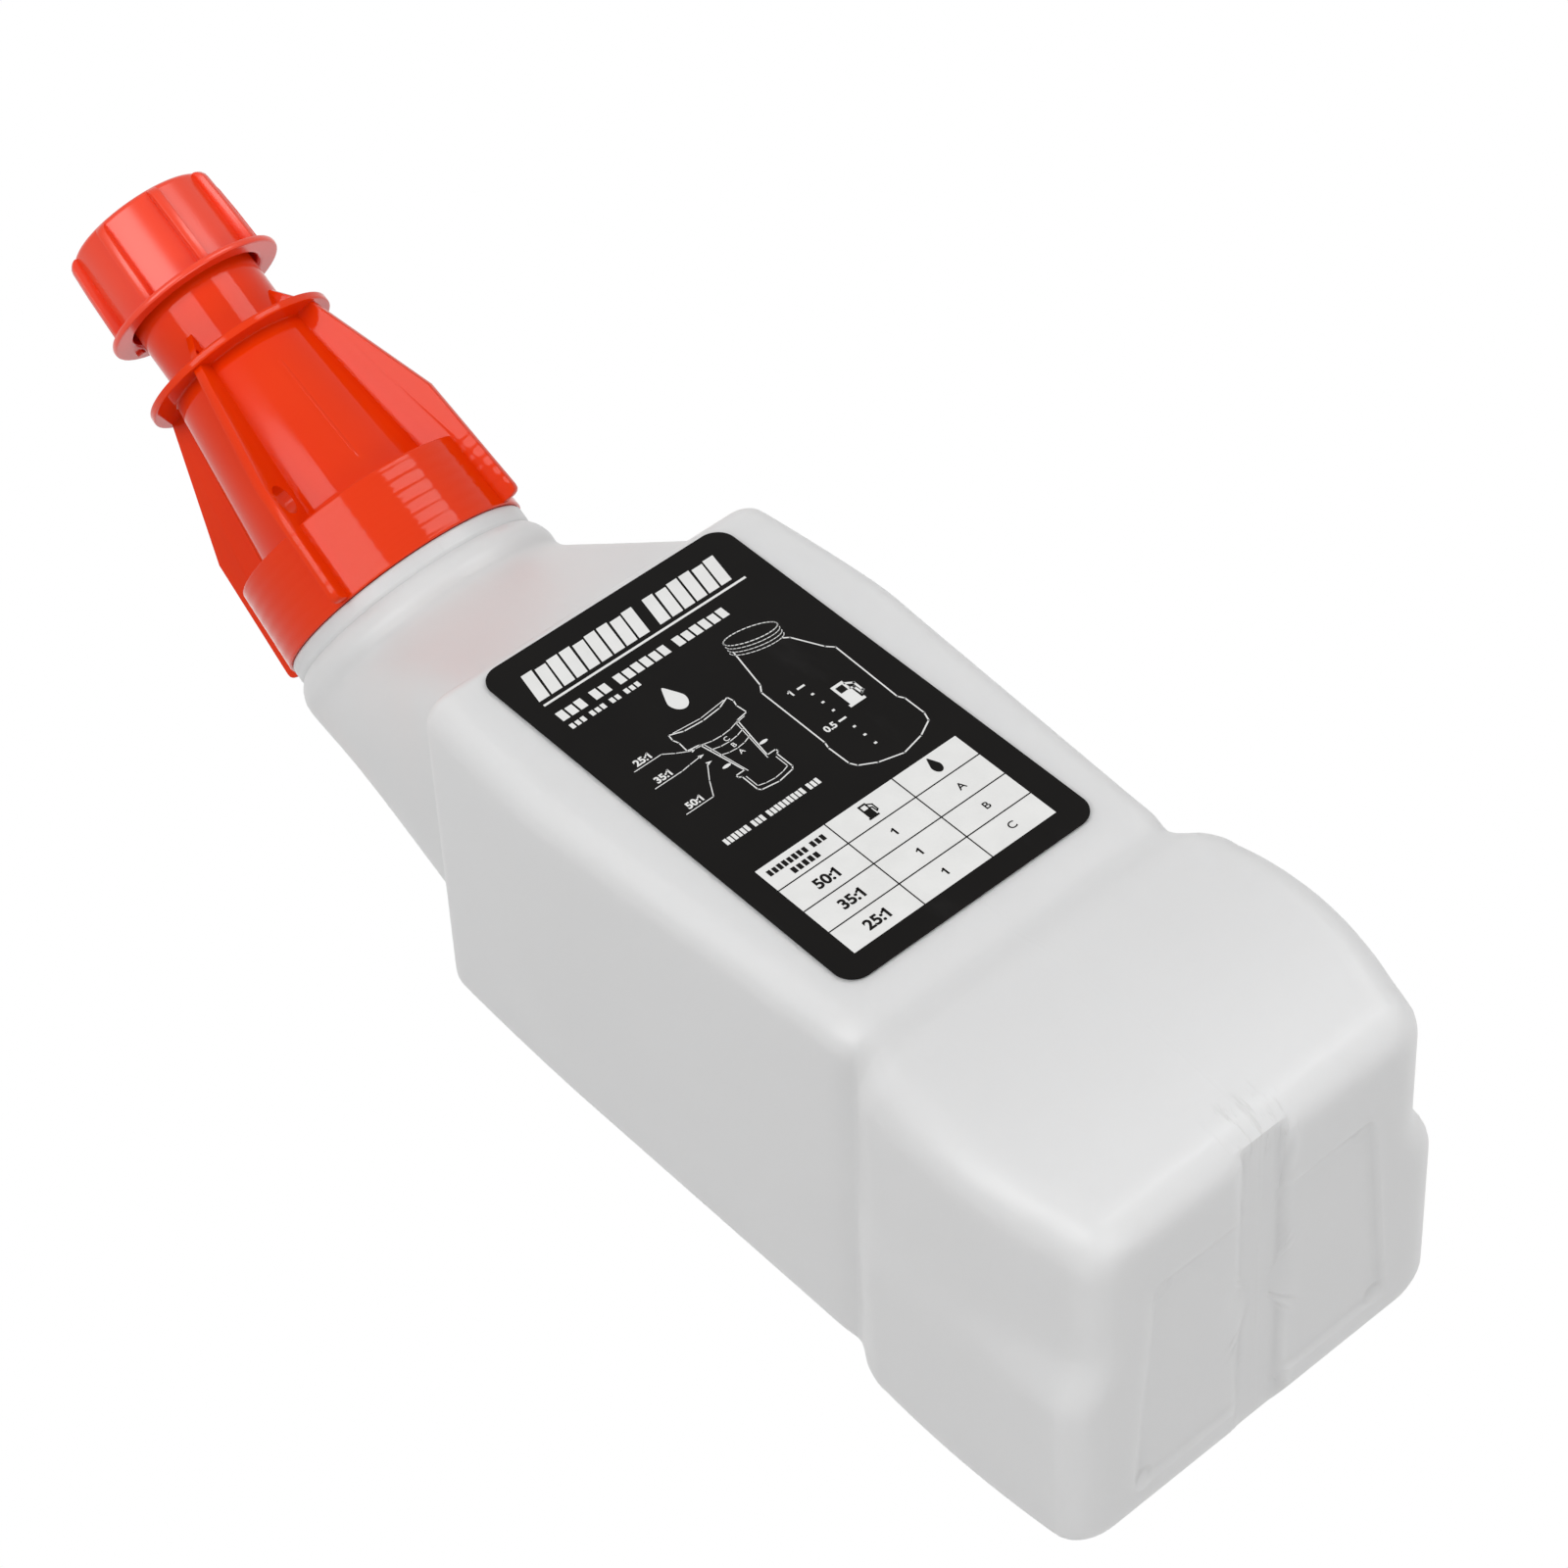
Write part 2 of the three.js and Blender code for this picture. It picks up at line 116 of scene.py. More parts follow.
def level_ring(section, inset, level):
    f, b, fy, by = section["front_half"], section["back_half"], section["front_y"], section["back_y"]
    points = outline(f - inset, b - inset, fy + inset, by - inset,
                     max(section.get("front_corner", 6) - inset * 0.5, 1),
                     max(section.get("back_corner", 8) - inset * 0.5, 1),
                     section.get("stepped", False))
    return [Vector((x * mm, y * mm - middle, level(x, y) * mm)) for x, y in points]


# The foot bows out, most of all at z = 36
def foot_section(z):
    bow = ((z - 36) / 27) ** 2
    return dict(front_half=45.8 - 4.3 * bow, back_half=47.2 - bow,
                front_y=-2.5 + 2.5 * bow, back_y=87 - bow, front_corner=8, stepped=True)


# The block widens upwards to its widest level and draws in again above it
def block_section(z):
    low, widest, top = 66, 145, 182.5
    fall = max((z - widest) / (top - widest), 0)
    half = 39 + 5.2 * (z - low) / (widest - low) if z < widest else 44.2 - 3 * fall ** 1.5
    return dict(front_half=half, back_half=43.5 - 1.2 * fall ** 2, front_y=0, back_y=block_depth)


# Towards its top the block rises to the back
def block_level(z):
    return lambda x, y: z + 5.5 * (y / block_depth) * smooth((z - 150) / 32.5)


def foot_level(rise):
    return lambda x, y: rise


# The pinched channel lifts the middle of the sole from front to back
def pinched_up(p):
    channel = channel_rise * (1 - smooth((abs(p.x) / mm - 4.6) / 2.2)) * mm
    return Vector((p.x, p.y, max(p.z, channel)))


def neck_ring(shares, radius, station):
    return [seat + up_neck * station * mm + (front_neck * cos(2 * pi * s)
            + Vector((1, 0, 0)) * sin(2 * pi * s)) * radius * mm for s in shares]


panel = dict(front_half=27, back_half=32, front_y=20, back_y=75, front_corner=4, back_corner=4)
waist = dict(front_half=38.2, back_half=43.3, front_y=0.3, back_y=86.3)
base = foot_section(foot_edge)
sole = level_ring(panel, 1.6, foot_level(sole_rise))
pole = Vector((0, 0.047 - middle, sole_rise * mm))
runs = [[[p.lerp(pole, share) for p in sole] for share in (1, 0.7, 0.4, 0.15, 0)]
        + [level_ring(panel, 0.3, foot_level(0.25)), level_ring(panel, -0.4, foot_level(0))]
        + [level_ring(base, foot_edge - foot_edge * sin(i * pi / 14),
                      foot_level(foot_edge - foot_edge * cos(i * pi / 14))) for i in range(7)]
        + [level_ring(foot_section(z), 0, foot_level(z)) for z in (11, 16, 24, 32, 40, 46, 50)]]
brow = level_ring(foot_section(51), 0, foot_level(51))
hollow = level_ring(waist, 0, foot_level(62))
runs[0] += [[Vector((*p.lerp(q, share).xy, z * mm)) for p, q in zip(brow, hollow)]
            for share, z in ((0, 52), (0.1, 54), (0.32, 56.4), (0.62, 58.4), (0.88, 60.4), (1, 62.6))]
runs[0] += [level_ring(block_section(z), 0, block_level(z))
            for z in (67, 72, 90, 105, 120, 134, 145, 156, 166, 173)]
crown = block_section(178)
runs[0] += [level_ring(crown, crown_edge - crown_edge * cos(i * pi / 10),
                       block_level(178 + crown_edge * sin(i * pi / 10))) for i in range(6)]
ledge = dict(front_half=crown["front_half"] - 7, back_half=crown["back_half"] - 7,
             front_y=5, back_y=80.5, front_corner=10, back_corner=14)
shoulder_foot = level_ring(ledge, 0, block_level(182.9))
lengths = [(shoulder_foot[i - 1] - p).length for i, p in enumerate(shoulder_foot)][1:]
shares = [sum(lengths[:i]) for i in range(len(shoulder_foot))]
girth = shares[-1] + (shoulder_foot[-1] - shoulder_foot[0]).length
shares = [s / girth for s in shares]
bulge = neck_ring(shares, bulge_radius, -12)
runs[0] += [shoulder_foot]
runs[0] += [[p.lerp(q, t) for p, q in zip(shoulder_foot, bulge)]
            for t in (0.06, 0.2, 0.4, 0.6, 0.8, 0.94)]
runs[0] += [neck_ring(shares, bulge_radius + dr, station)
            for dr, station in ((0, -11), (0, -8.5), (-0.8, -6), (-2.3, -4))]
# The bead, the neck and the lip are runs of their own, so that sharp edges part them
bead = [(bead_radius, station) for station in (-3.3, -2.4, -0.6)] + [(28.7, -0.2)]
neck = [(neck_radius, station) for station in (-0.15, 8, 15.4)] + [(24.9, 15.9), (24.6, 16.1)]
lip = [(23.6, 16.2), (23.5, 16.1)]
runs += [[neck_ring(shares, radius, station) for radius, station in run] for run in (bead, neck, lip)]


# A smooth curve through the same point of each ring of a run
def faired(run):
    made = []
    for k in range(len(run) - 1):
        before, here = run[max(k - 1, 0)], run[k]
        there, after = run[k + 1], run[min(k + 2, len(run) - 1)]
        for t in (0, 1 / 3, 2 / 3):
            ring = []
            for a, b, c, d in zip(before, here, there, after):
                long, tiny = (c - b).length, 1e-9
                m = (c - a) * (long / max(long + (b - a).length, tiny))
                n = (d - b) * (long / max((d - c).length + long, tiny))
                ring.append(b * (2 * t**3 - 3 * t**2 + 1) + m * (t**3 - 2 * t**2 + t)
                            + c * (3 * t**2 - 2 * t**3) + n * (t**3 - t**2))
            made.append(ring)
    return made + [run[-1]]


# A skin over rings that follow each other: a grid is laid round them and sewn along its seam
def lofted(name, rings):
    around = len(rings[0])
    bpy.ops.object.select_all(action="DESELECT")
    bpy.ops.mesh.primitive_grid_add(x_subdivisions=around, y_subdivisions=len(rings) - 1, size=1)
    piece = bpy.context.object
    piece.name = piece.data.name = name
    for k, ring in enumerate(rings):
        for i in range(around + 1):
            piece.data.vertices[k * (around + 1) + i].co = ring[i % around]
    bpy.ops.object.mode_set(mode="EDIT")
    bpy.ops.mesh.select_all(action="SELECT")
    bpy.ops.mesh.remove_doubles(threshold=1e-6)
    bpy.ops.mesh.normals_make_consistent(inside=False)
    bpy.ops.object.mode_set(mode="OBJECT")
    return piece


bottle = lofted("bottle_shell",
                [[pinched_up(p) for p in ring] for run in runs for ring in faired(run)])
bpy.ops.object.modifier_add(type="SOLIDIFY")
bottle.modifiers["Solidify"].thickness = wall * mm
bottle.modifiers["Solidify"].offset = -1
bpy.ops.object.modifier_apply(modifier="Solidify")
bpy.ops.object.shade_smooth_by_angle(angle=radians(35))
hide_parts("bottle")
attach(bottle, "bottle_body")


# A socket that takes part in Python sums: each operator adds its Math node. An input is given by its
# name, or by i and its number where the node has several of one name.
class Wire:
    def __init__(self, socket):
        self.socket = socket

    def node(self, kind, settings=(), output=0, **values):
        made = self.socket.id_data.nodes.new("ShaderNode" + kind)
        for name, value in dict(settings).items():
            setattr(made, name, value)
        for name, value in values.items():
            wanted = name.replace("_", " ").lower()
            free = [s for s in made.inputs if s.enabled and s.name.lower() == wanted]
            self.feed(free[0] if free else made.inputs[int(name[1:])], value)
        return Wire(made.outputs[output])

    def feed(self, socket, value):
        if isinstance(value, Wire):
            socket.id_data.links.new(value.socket, socket)
        else:
            socket.default_value = (*value, 1) if socket.type == "RGBA" and len(value) == 3 else value

    def maths(self, operation, other=0.0):
        return self.node("Math", {"operation": operation}, i0=self, i1=other)

    def __add__(self, other): return self.maths("ADD", other)
    def __sub__(self, other): return self.maths("SUBTRACT", other)
    def __mul__(self, other): return self.maths("MULTIPLY", other)
    def __rsub__(self, other): return self.maths("MULTIPLY", -1.0).maths("ADD", other)
    __radd__ = __add__

    def size(self): return self.maths("ABSOLUTE")

    def within(self, low, high):
        return self.node("MapRange", {"interpolation_type": "SMOOTHSTEP"},
                         value=self, from_min=low, from_max=high)

    def tint(self, here, there):
        return self.node("Mix", {"data_type": "RGBA"}, output=2, i0=self, i6=here, i7=there)

    def noise(self, scale, detail=2.0, roughness=0.5):
        return self.node("TexNoise", vector=self, scale=scale, detail=detail, roughness=roughness)

    def stretched(self, scale, turn=(0, 0, 0)):
        return self.node("Mapping", vector=self, scale=scale, rotation=turn)


# A new material: its shader, the place on the piece, and the three parts of that place
def finish(name, **constants):
    material = bpy.data.materials.new(name)
    material.use_nodes = True
    shader = material.node_tree.nodes["Principled BSDF"]
    for socket, value in constants.items():
        shader.inputs[socket.replace("_", " ")].default_value = value
    place = Wire(material.node_tree.nodes.new("ShaderNodeTexCoord").outputs["Object"])
    apart = place.node("SeparateXYZ", vector=place).socket.node.outputs
    return material, shader.inputs, place, [Wire(part) for part in apart]


def bumped(inputs, relief, strength=0.5):
    relief.feed(inputs["Normal"], relief.node("Bump", strength=strength, distance=1.0, height=relief))


def wear(piece, material):
    piece.data.materials.clear()
    piece.data.materials.append(material)


# The wall is milky: a little of the light goes in and comes out again. The shoulder next to the orange
# cup has a painted orange glow, which stands in for the light that the cup throws on it. The moulded
# skin has a fine grain, slow ripples and the line of the mould.
material, inputs, place, (x, y, z) = finish(
    "bottle_plastic", Subsurface_Weight=0.7, Subsurface_Radius=(1.0, 0.97, 0.93),
    Subsurface_Scale=0.007, IOR=1.5, Coat_Roughness=0.25)


# How far a place lies up the neck's axis from the seat of the cup
def station_of(y, z):
    return (y - seat.y) * up_neck.y + (z - seat.z) * up_neck.z


along = station_of(y, z)
mottle = place.noise(9.0, 3.0)
# Painted light: a mottled band of the shoulder below the cup, tinted like the light the cup throws on
# it
painted_cup_bounce = along.within(-0.052, -0.024) * (1 - along.within(-0.016, -0.005)) * mottle.within(0.38, 0.62)
shade = mottle.tint((0.768, 0.760, 0.750), (0.822, 0.816, 0.808))
seam = 1 - x.size().within(0.0001, 0.0006)
scuffs = place.stretched((9, 1, 1)).noise(110.0, 4.0, 0.7)
pinched = (1 - x.size().within(0.005, 0.009)) * (1 - z.within(0.007, 0.011))
pinched = pinched * (1 - y.within(-0.03, -0.02))
scuffed = scuffs.within(0.52, 0.66) * pinched
# The painted orange glow from the cup is mixed into the wall's colour here
shade = (painted_cup_bounce * 0.22).tint(shade, (0.90, 0.66, 0.61))
place.feed(inputs["Base Color"], (scuffed * 0.35).tint(shade, (0.62, 0.61, 0.59)))
shade.feed(inputs["Roughness"], 0.34 + place.noise(45.0, 3.0) * 0.14 + scuffed * 0.25)
ripples = place.stretched((1, 1, 0.55)).noise(26.0, 1.0)
grain = place.noise(900.0, 2.0)


# Four small dimples in the sole, the same on both sides of the channel
def dimple(across, deep):
    away = (x.size() - across) * (x.size() - across) + (y - deep) * (y - deep)
    return 1 - away.maths("SQRT").within(0.0012, 0.003)


dents = (dimple(0.0245, -0.0105) + dimple(0.0295, 0.0405)) * (1 - z.within(0.002, 0.003))
relief = ripples * 0.0005 + grain * 0.000008 + seam * 0.00005 + scuffed * 0.00012 - dents * 0.0006
bumped(inputs, relief, 0.55)
wear(bottle, material)


# Label
# A sheet of black film with rounded corners, stuck on the flat front of the block. Everything on
# it is printed: white and black fields that lie on the film. The print here says nothing: bars
# stand where lines of words would, beside plain drawings and the mixing ratios.
label_width, label_height, label_centre = 60, 106.5, 125.25
film, film_gap = 0.3, 0.3         # how thick the film is, and its clearance from the block
label_left = -label_width / 2 * mm
label_top = (label_centre + label_height / 2) * mm
film_front = -(film + film_gap) * mm - middle
bpy.ops.object.select_all(action="DESELECT")
bpy.ops.mesh.primitive_plane_add(size=1, rotation=(pi / 2, 0, 0))
label = bpy.context.object
label.name = label.data.name = "label_film"
label.scale = (label_width * mm, label_height * mm, 1)
label.location = (0, -film_gap * mm - middle, label_centre * mm)
bpy.ops.object.transform_apply()
bpy.ops.object.mode_set(mode="EDIT")
bpy.ops.mesh.select_all(action="SELECT")
bpy.ops.mesh.bevel(offset=4.4 * mm, segments=12, affect="VERTICES")
bpy.ops.mesh.extrude_region_move(TRANSFORM_OT_translate={"value": (0, -film * mm, 0)})
bpy.ops.mesh.select_all(action="SELECT")
bpy.ops.mesh.normals_make_consistent(inside=False)
bpy.ops.object.mode_set(mode="OBJECT")
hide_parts("label")
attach(label, "bottle_body")
material, inputs, place, parts = finish("label_film", IOR=1.5, Specular_IOR_Level=0.06)
fibres = place.noise(60.0, 3.0)
smudges = place.stretched((1, 1, 0.4), (0, 0.6, 0)).noise(38.0, 5.0, 0.65).within(0.6, 0.78)
shade = fibres.tint((0.0042, 0.0038, 0.0036), (0.0072, 0.0065, 0.006))
place.feed(inputs["Base Color"], (smudges * 0.4).tint(shade, (0.022, 0.021, 0.021)))
place.feed(inputs["Roughness"], 0.36 + place.noise(25.0, 4.0) * 0.14)


# The film's slow waves and fine grain, which the print on it shares
def film_relief(place):
    return place.noise(30.0, 1.0) * 0.0004 + place.noise(1500.0) * 0.000006


bumped(inputs, film_relief(place))
wear(label, material)


# The print is drawn on the label's own face, in hundredths of its width across and a little more
# down, from its top left corner, and each colour becomes one flat piece.
across_step, down_step = label_width / 100, 0.639


def on_label(u, v, proud):
    return Vector((label_left + u * across_step * mm, film_front - proud * mm,
                   label_top - v * down_step * mm))


class Print:
    def __init__(self, name, proud):
        self.name, self.proud, self.shapes, self.words = name, proud, [], []

    def field(self, *points):
        self.shapes.append([on_label(u, v, self.proud) for u, v in points])

    def bar(self, u0, v0, u1, v1, slant=0.0):
        self.field((u0 + slant, v0), (u1 + slant, v0), (u1, v1), (u0, v1))

    def stroke(self, width, *points):
        for (u0, v0), (u1, v1) in zip(points, points[1:]):
            long = max(((u1 - u0) ** 2 + (v1 - v0) ** 2) ** 0.5, 1e-6)
            a, b = (u1 - u0) / long * width / 2, (v1 - v0) / long * width / 2
            self.field((u0 - b - a, v0 + a - b), (u1 - b + a, v1 + a + b),
                       (u1 + b + a, v1 - a + b), (u0 + b - a, v0 - a - b))

    def oval(self, u, v, across, high, tip=0.0):
        points = []
        steps = 36
        for i in range(steps):
            turn = 2 * pi * i / steps
            narrow = 1 - tip * max(cos(turn), 0) ** 1.5
            drawn_out = 1 + tip * max(cos(turn), 0)
            points.append((u + sin(turn) * across / 2 * narrow, v - cos(turn) * high / 2 * drawn_out))
        self.field(*points)

    # A figure or letter as high as given, its strokes thickened a little, and a "1" with a flag
    def number(self, text, u, v, high):
        capital = 0.7             # a capital's share of the type size
        bpy.ops.object.select_all(action="DESELECT")
        bpy.ops.object.text_add(location=on_label(u, v, self.proud), rotation=(pi / 2, 0, 0))
        words = bpy.context.object
        words.data.body, words.data.size = text, high * across_step * mm / capital
        words.data.align_x = "CENTER"
        words.data.offset = high * (0.00001 if text in "ABC" else 0.00003)
        bpy.ops.object.convert(target="MESH")
        bpy.ops.object.transform_apply()
        self.words.append(words)
        if text.endswith("1"):
            right, top = (max(vertex.co[axis] for vertex in words.data.vertices) for axis in (0, 2))
            w = high * 0.12 * mm
            self.shapes.append([Vector((right - dx * w, words.data.vertices[0].co.y, top - dz * w))
                                for dx, dz in ((0.2, 0), (0.6, 1.3), (2.5, 2.2), (2.5, 1.2))])

    # All the shapes of one colour as one flat piece that faces forwards
    def pressed(self, material):
        bpy.ops.object.select_all(action="DESELECT")
        bpy.ops.mesh.primitive_plane_add(size=1)
        piece = bpy.context.object
        piece.name = piece.data.name = self.name
        bpy.ops.object.mode_set(mode="EDIT")
        bpy.ops.mesh.delete(type="VERT")
        shape = bmesh.from_edit_mesh(piece.data)
        for points in self.shapes:
            shape.faces.new([shape.verts.new(p) for p in points])
        bmesh.update_edit_mesh(piece.data)
        bpy.ops.object.mode_set(mode="OBJECT")
        bpy.ops.object.transform_apply()
        for words in self.words:
            words.select_set(True)
        bpy.context.view_layer.objects.active = piece
        bpy.ops.object.join()
        bpy.ops.object.mode_set(mode="EDIT")
        bpy.ops.mesh.select_all(action="SELECT")
        shape = bmesh.from_edit_mesh(piece.data)
        for face in shape.faces:
            face.normal_update()
            if face.normal.y > 0:
                face.normal_flip()
        bmesh.update_edit_mesh(piece.data)
        bpy.ops.object.mode_set(mode="OBJECT")
        wear(piece, material)
        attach(piece, "bottle_body")


white = Print("label_print_white", 0.03)


# A line of words as a row of slanted blocks, one for each letter
def blocks_for_words(ink, words, u0, u1, v0, v1, slant=0.0, space=0.16):
    gap = 0.7                     # between words, as a share of a letter
    count = sum(words) + gap * (len(words) - 1)
    step, place = (u1 - u0) / count, 0.0
    for k, letters in enumerate(words):
        for i in range(letters):
            u = u0 + step * place
            dip = (v1 - v0) * 0.05 * ((i * 7 + k * 3) % 3 == 1)
            ink.bar(u, v0 + dip, u + step * (1 - space), v1, slant=slant)
            place += 1
        place += gap


blocks_for_words(white, (9, 6), 7.8, 87.4, 8.6, 20.8, slant=2.8, space=0.16)
white.bar(7.8, 22.5, 90.4, 23.4)
blocks_for_words(white, (3, 2, 6, 6), 8, 76.5, 27.8, 32, space=0.22)
blocks_for_words(white, (3, 3, 2, 3), 8, 36.2, 34.2, 36.4, space=0.3)
white.oval(39, 48.5, 6.6, 8.6, tip=0.6)
for amount, v, lead in (("25:1", 61.2, 67.5), ("35:1", 70.6, 71), ("50:1", 84.6, 74.6)):
    white.number(amount, 15.2, v + 0.2, 2.7)
    white.stroke(0.32, (10, v + 1.2), (20.6, v + 1.2))
    white.stroke(0.32, (20.6, v + 1.2), (24, (v + lead) / 2 + 0.6), (28.2, lead))
    white.field((30, lead), (28, lead - 0.7), (28, lead + 0.7))
# The cup, upside down as it is filled: both sides of its outline, its rim and its three levels
mid = 39.2
cup_side = [(27.4, 58), (26.9, 60.4), (27.6, 62.5), (27.2, 66.6), (31.6, 67.2), (34.6, 84)]
cap_side = [(4.6, 84), (8, 84), (8, 85), (7, 85.6), (7, 92.4), (6.2, 93.4), (0, 94.4)]
cap_inside = [(6, 86.4), (6, 91.4), (3.4, 92.2), (0, 92.6)]
for sign in (1, -1):
    white.stroke(0.42, *[(mid + sign * (u - mid), v) for u, v in cup_side])
    white.stroke(0.3, *[(mid + sign * (u - mid) * 0.86, v + 0.8) for u, v in cup_side[3:]])
    white.stroke(0.42, *[(mid + sign * du, v) for du, v in cap_side])
    white.stroke(0.3, *[(mid + sign * du, v) for du, v in cap_inside])
    white.oval(mid + sign * 7.4, 79.2, 3.2, 1.2)
white.stroke(0.42, (27.4, 58), (32, 59.8), (mid, 60.4), (46.4, 59.8), (51, 58))
white.stroke(0.3, (29, 58.2), (mid, 59.2), (49.4, 58.2))
for n, (v, half) in enumerate(((67.6, 7.4), (71, 6.7), (74.6, 6))):
    white.stroke(0.32, (mid - half, v), (mid - half / 2, v + 1), (mid, v + 1.3),
                 (mid + half / 2, v + 1), (mid + half, v))
    white.number("CBA"[n], mid, v + 4.1 - n * 0.1, 1.9)
blocks_for_words(white, (6, 3, 9, 3), 10.6, 48.5, 100.6, 103.2, space=0.26)
# The bottle with its neck open: its outline, the leaning mouth with lines of thread under it, and
# the level marks, of which every fourth is longer
flask = [(65.3, 45.4), (61.9, 61), (60, 63.6), (59.8, 92), (59.1, 94.2), (59.3, 103),
         (60.6, 105.4), (66, 108.6), (74.4, 111), (83, 109.2), (89, 106.2), (90.2, 103),
         (90.2, 94.6), (89, 92.6), (89.8, 64.6), (87.6, 62.2), (82.4, 52), (80.8, 50.8)]
white.stroke(0.5, *flask)
for k, drop in enumerate((0, 1.5, 3, 4.4)):
    rim = []
    for t in range(33 if k == 0 else 17):
        across, down = 9.4 * cos(t * pi / 16), 2.8 * sin(t * pi / 16)
        rim.append((74.6 + across * 0.97 - down * 0.26 - 0.3 * drop,
                    42.6 + drop + down + across * 0.24))
    white.stroke(0.4 if k == 0 else 0.3, *rim)
for k in range(8):
    left, right = (70.4, 71.4) if k % 4 else (68.8, 71.8)
    white.bar(left, 69.6 + k * 4.6, right, 70.4 + k * 4.6)
white.number("1", 66.4, 71.1, 2.6)
white.number("0.5", 65.4, 89.5, 2.6)


# The sign of a fuel pump, its foot at the middle of a cell
def pump(ink, hole, u, v, size):
    ink.bar(u - 3 * size, v - 9 * size, u + 1.8 * size, v)
    ink.bar(u - 3.8 * size, v, u + 2.6 * size, v + 1.2 * size)
    hole.bar(u - 2 * size, v - 7.8 * size, u + 0.8 * size, v - 5 * size)
    hose = [(1.8, -7.6), (4, -6), (4, -2), (3, -1.4), (2.8, -4.6), (1.8, -5)]
    ink.stroke(0.8 * size, *[(u + du * size, v + dv * size) for du, dv in hose])


black = Print("label_print_black", 0.06)
mark = Print("label_print_mark", 0.09)
pump(white, black, 79.4, 85.4, 1)
table_left, table_top, table_right, table_foot, rule = 9.4, 116.2, 90.2, 158.4, 0.22
white.bar(table_left, table_top, table_right, table_foot)
for u in (37, 64.2):
    black.bar(u - rule, table_top, u + rule, table_foot)
for v in (126.4, 137.2, 147.8):
    black.bar(table_left, v - rule, table_right, v + rule)
blocks_for_words(black, (8, 3), 11.6, 34.4, 118.4, 120.8, space=0.28)
blocks_for_words(black, (5,), 17.6, 28.6, 122.2, 124.6, space=0.28)
pump(black, mark, 50.4, 123.4, 0.62)
black.oval(77.4, 121.4, 3.6, 5.2, tip=0.6)
for n, (ratio, v) in enumerate((("50:1", 132), ("35:1", 142.6), ("25:1", 153.2))):
    black.number(ratio, 23.4, v + 1.9, 4.0)
    black.number("1", 50.4, v + 1.4, 2.9)
    black.number("ABC"[n], 77.2, v + 1.4, 2.9)
pale, dark = (0.74, 0.74, 0.73), (0.006, 0.0055, 0.005)
for name, colour, ink in (("print_white", pale, white), ("print_black", dark, black),
                          ("print_mark", pale, mark)):
    material, inputs, place, parts = finish(name, IOR=1.5, Specular_IOR_Level=0.06)
    thinner, thicker = [c * 0.93 for c in colour], [c * 1.05 for c in colour]
    place.feed(inputs["Base Color"], place.noise(220.0, 3.0).tint(thinner, thicker))
    place.feed(inputs["Roughness"], 0.38 + place.noise(25.0, 4.0) * 0.14)
    bumped(inputs, film_relief(place))
    ink.pressed(material)


# Measuring cup
# One glossy orange moulding that screws on the neck and serves as its spout: a collar, a cone
# with four grip wings, a round stop ring with four gussets, and a pouring neck with a thread.
# It is shaped upright on the z axis, and then leaned and set on the bottle.
def turned(name, corners, rounding=0.25):
    # A ring close to each corner keeps the shading of the long walls even
    steps, close = 144, 0.6
    profile = []
    for (r0, z0), (r1, z1) in zip(corners, corners[1:] + corners[:1]):
        long = ((r1 - r0) ** 2 + (z1 - z0) ** 2) ** 0.5
        profile.append((r0, z0))
        if long > 1.4:
            profile += [(r0 + (r1 - r0) * t, z0 + (z1 - z0) * t)
                        for t in (close / long, 1 - close / long)]
    bpy.ops.object.select_all(action="DESELECT")
    bpy.ops.mesh.primitive_circle_add(vertices=len(profile), radius=1)
    piece = bpy.context.object
    piece.name = piece.data.name = name
    for vertex, (r, z) in zip(piece.data.vertices, profile):
        vertex.co = (0, -r * mm, z * mm)
    bpy.ops.object.mode_set(mode="EDIT")
    bpy.ops.mesh.select_all(action="SELECT")
    bpy.ops.mesh.spin(steps=steps, angle=2 * pi, center=(0, 0, 0), axis=(0, 0, 1))
    bpy.ops.mesh.select_all(action="SELECT")
    bpy.ops.mesh.remove_doubles(threshold=1e-6)
    bpy.ops.mesh.normals_make_consistent(inside=False)
    bpy.ops.object.mode_set(mode="OBJECT")
    softened(piece, rounding)
    return piece


# Rounds the edges of a piece
def softened(piece, rounding):
    bpy.context.view_layer.objects.active = piece
    bpy.ops.object.modifier_add(type="BEVEL")
    bevel = piece.modifiers["Bevel"]
    bevel.width, bevel.segments, bevel.limit_method = rounding * mm, 2, "ANGLE"
    bevel.angle_limit, bevel.use_clamp_overlap = radians(28), True
    bpy.ops.object.modifier_apply(modifier="Bevel")


# A plate in the plane through the axis, from its outline as (radius, height), turned to its place
def plate(outline_points, thickness, turn, rounding):
    bpy.ops.object.select_all(action="DESELECT")
    bpy.ops.mesh.primitive_circle_add(vertices=len(outline_points), radius=1, fill_type="NGON")
    piece = bpy.context.object
    for vertex, (r, z) in zip(piece.data.vertices, outline_points):
        vertex.co = (-thickness / 2 * mm, -r * mm, z * mm)
    bpy.ops.object.mode_set(mode="EDIT")
    bpy.ops.mesh.select_all(action="SELECT")
    bpy.ops.mesh.extrude_region_move(TRANSFORM_OT_translate={"value": (thickness * mm, 0, 0)})
    bpy.ops.mesh.select_all(action="SELECT")
    bpy.ops.mesh.normals_make_consistent(inside=False)
    bpy.ops.object.mode_set(mode="OBJECT")
    softened(piece, rounding)
    piece.rotation_euler.z = turn
    bpy.ops.object.transform_apply()
    return piece


# A round hole through a plate, at the radius r and the height z
def drilled(piece, radius, r, z, turn):
    bpy.ops.object.select_all(action="DESELECT")
    bpy.ops.mesh.primitive_cylinder_add(vertices=40, radius=radius * mm, depth=12 * mm,
                                        rotation=(0, pi / 2, 0))
    drill = bpy.context.object
    drill.location = (0, -r * mm, z * mm)
    bpy.ops.object.transform_apply()
    drill.rotation_euler.z = turn
    bpy.ops.object.transform_apply()
    merged(piece, drill, "DIFFERENCE")


